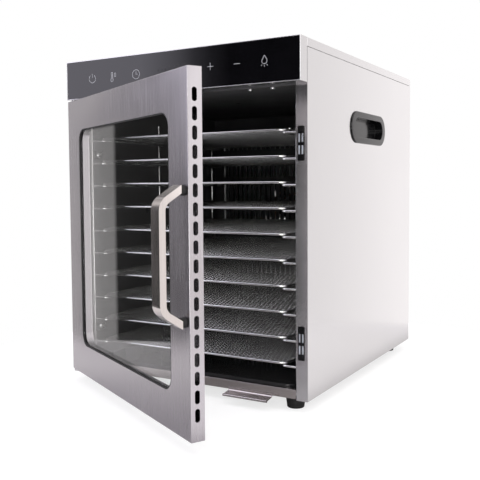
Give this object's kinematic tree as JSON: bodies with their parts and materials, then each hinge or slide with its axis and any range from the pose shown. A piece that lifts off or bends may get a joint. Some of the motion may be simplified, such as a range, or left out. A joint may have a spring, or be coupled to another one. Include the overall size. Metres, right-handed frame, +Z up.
{
  "type": "food dehydrator",
  "caption": "Steel box dehydrator with a glazed side-hinged door, a stack of sliding wire trays, a crumb drawer, a touch control head and a rear fan.",
  "frame": {"origin": "on the floor, at the middle of the bounding box with the door ajar as at rest: on the cabinet centre line, 110.5 mm behind the front of the control head", "axes": "+X to the right as seen by a user in front, +Y to the back, +Z up"},
  "size_m": [0.3486, 0.5922, 0.4285],
  "materials": {
    "black_glass": "black back-printed glass",
    "black_plastic": "fine-textured black plastic",
    "black_rubber": "matt black rubber",
    "brass_pin": "brass",
    "brushed_steel": "brushed stainless sheet, vertical grain",
    "cast_alloy": "cast aluminium",
    "circuit_board": "green solder mask",
    "clear_glass": "clear tempered glass",
    "dark_enamel": "dark non-stick coated sheet, glossy",
    "door_steel": "brushed stainless sheet, vertical grain",
    "galvanised": "galvanised sheet",
    "handle_steel": "brushed stainless flat bar",
    "heater_wire": "oxidised resistance wire",
    "lamp_glass": "frosted glass",
    "liner": "dark satin coated liner sheet",
    "mica": "mica sheet",
    "nylon": "natural nylon",
    "pole_steel": "nickel-plated steel",
    "screw_steel": "zinc-plated steel",
    "wire_steel": "electropolished stainless wire"
  },
  "bodies": {
    "cabinet": {"back_panel": "galvanised", "base_plate": "galvanised", "cabinet_screws": "screw_steel", "carry_handle_left": "black_plastic", "carry_handle_right": "black_plastic", "catch_pole_plates": "pole_steel", "chamber_ceiling": "liner", "chamber_wall_left": "liner", "chamber_wall_right": "liner", "control_board": "circuit_board", "control_glass": "black_glass", "control_housing": "brushed_steel", "display_module": "black_glass", "fan_housing": "black_plastic", "fan_motor": "cast_alloy", "heater_element": "heater_wire", "heater_frame": "mica", "hinge_bracket": "screw_steel", "hinge_pins": "screw_steel", "inlet_pins": "brass_pin", "lamp_holder": "nylon", "lamp_lens": "lamp_glass", "left_side_panel": "brushed_steel", "magnetic_catches": "black_plastic", "power_board": "circuit_board", "power_inlet": "black_plastic", "rack_posts_left": "wire_steel", "rack_posts_right": "wire_steel", "rack_rails_left": "wire_steel", "rack_rails_right": "wire_steel", "rack_screws": "screw_steel", "rear_baffle": "liner", "right_side_panel": "brushed_steel", "rubber_feet": "black_rubber", "temperature_probe": "screw_steel", "thermal_cutout": "screw_steel", "top_cover": "brushed_steel"},
    "door": {"door_outer_frame": "door_steel", "door_inner_panel": "door_steel", "door_glass": "clear_glass", "window_gasket": "black_rubber", "door_handle": "handle_steel", "handle_spacers": "black_rubber", "handle_screws": "screw_steel", "strike_plates": "pole_steel", "hinge_bushes": "nylon"},
    "crumb_drawer": {"crumb_tray_front": "brushed_steel", "crumb_tray_pan": "dark_enamel", "crumb_tray_pull": "brushed_steel"},
    "fan_wheel": {"fan_rotor": "black_plastic"},
    "tray_body_01": {"tray_01": "wire_steel"},
    "tray_body_02": {"tray_02": "wire_steel"},
    "tray_body_03": {"tray_03": "wire_steel"},
    "tray_body_04": {"tray_04": "wire_steel"},
    "tray_body_05": {"tray_05": "wire_steel"},
    "tray_body_06": {"tray_06": "wire_steel"},
    "tray_body_07": {"tray_07": "wire_steel"},
    "tray_body_08": {"tray_08": "wire_steel"},
    "tray_body_09": {"tray_09": "wire_steel"},
    "tray_body_10": {"tray_10": "wire_steel"}
  },
  "joints": [
    {"name": "door_hinge", "type": "hinge", "parent": "cabinet", "child": "door", "pos_m": [-0.1665, -0.1045, 0.1955], "axis": [0, 0, -1], "range_deg": [-28, 90]},
    {"name": "tray_01_slide", "type": "slide", "parent": "cabinet", "child": "tray_body_01", "axis": [0, -1, 0], "range_m": [0, 0.02]},
    {"name": "tray_02_slide", "type": "slide", "parent": "cabinet", "child": "tray_body_02", "axis": [0, -1, 0], "range_m": [0, 0.02]},
    {"name": "tray_03_slide", "type": "slide", "parent": "cabinet", "child": "tray_body_03", "axis": [0, -1, 0], "range_m": [0, 0.02]},
    {"name": "tray_04_slide", "type": "slide", "parent": "cabinet", "child": "tray_body_04", "axis": [0, -1, 0], "range_m": [0, 0.02]},
    {"name": "tray_05_slide", "type": "slide", "parent": "cabinet", "child": "tray_body_05", "axis": [0, -1, 0], "range_m": [0, 0.02]},
    {"name": "tray_06_slide", "type": "slide", "parent": "cabinet", "child": "tray_body_06", "axis": [0, -1, 0], "range_m": [0, 0.02]},
    {"name": "tray_07_slide", "type": "slide", "parent": "cabinet", "child": "tray_body_07", "axis": [0, -1, 0], "range_m": [0, 0.02]},
    {"name": "tray_08_slide", "type": "slide", "parent": "cabinet", "child": "tray_body_08", "axis": [0, -1, 0], "range_m": [0, 0.02]},
    {"name": "tray_09_slide", "type": "slide", "parent": "cabinet", "child": "tray_body_09", "axis": [0, -1, 0], "range_m": [0, 0.02]},
    {"name": "tray_10_slide", "type": "slide", "parent": "cabinet", "child": "tray_body_10", "axis": [0, -1, 0], "range_m": [0, 0.02]},
    {"name": "crumb_drawer_slide", "type": "slide", "parent": "cabinet", "child": "crumb_drawer", "axis": [0, -1, 0], "range_m": [0, 0.005]},
    {"name": "fan_spin", "type": "hinge", "parent": "cabinet", "child": "fan_wheel", "pos_m": [0, 0.2745, 0.2035], "axis": [0, 1, 0], "continuous": true}
  ]
}
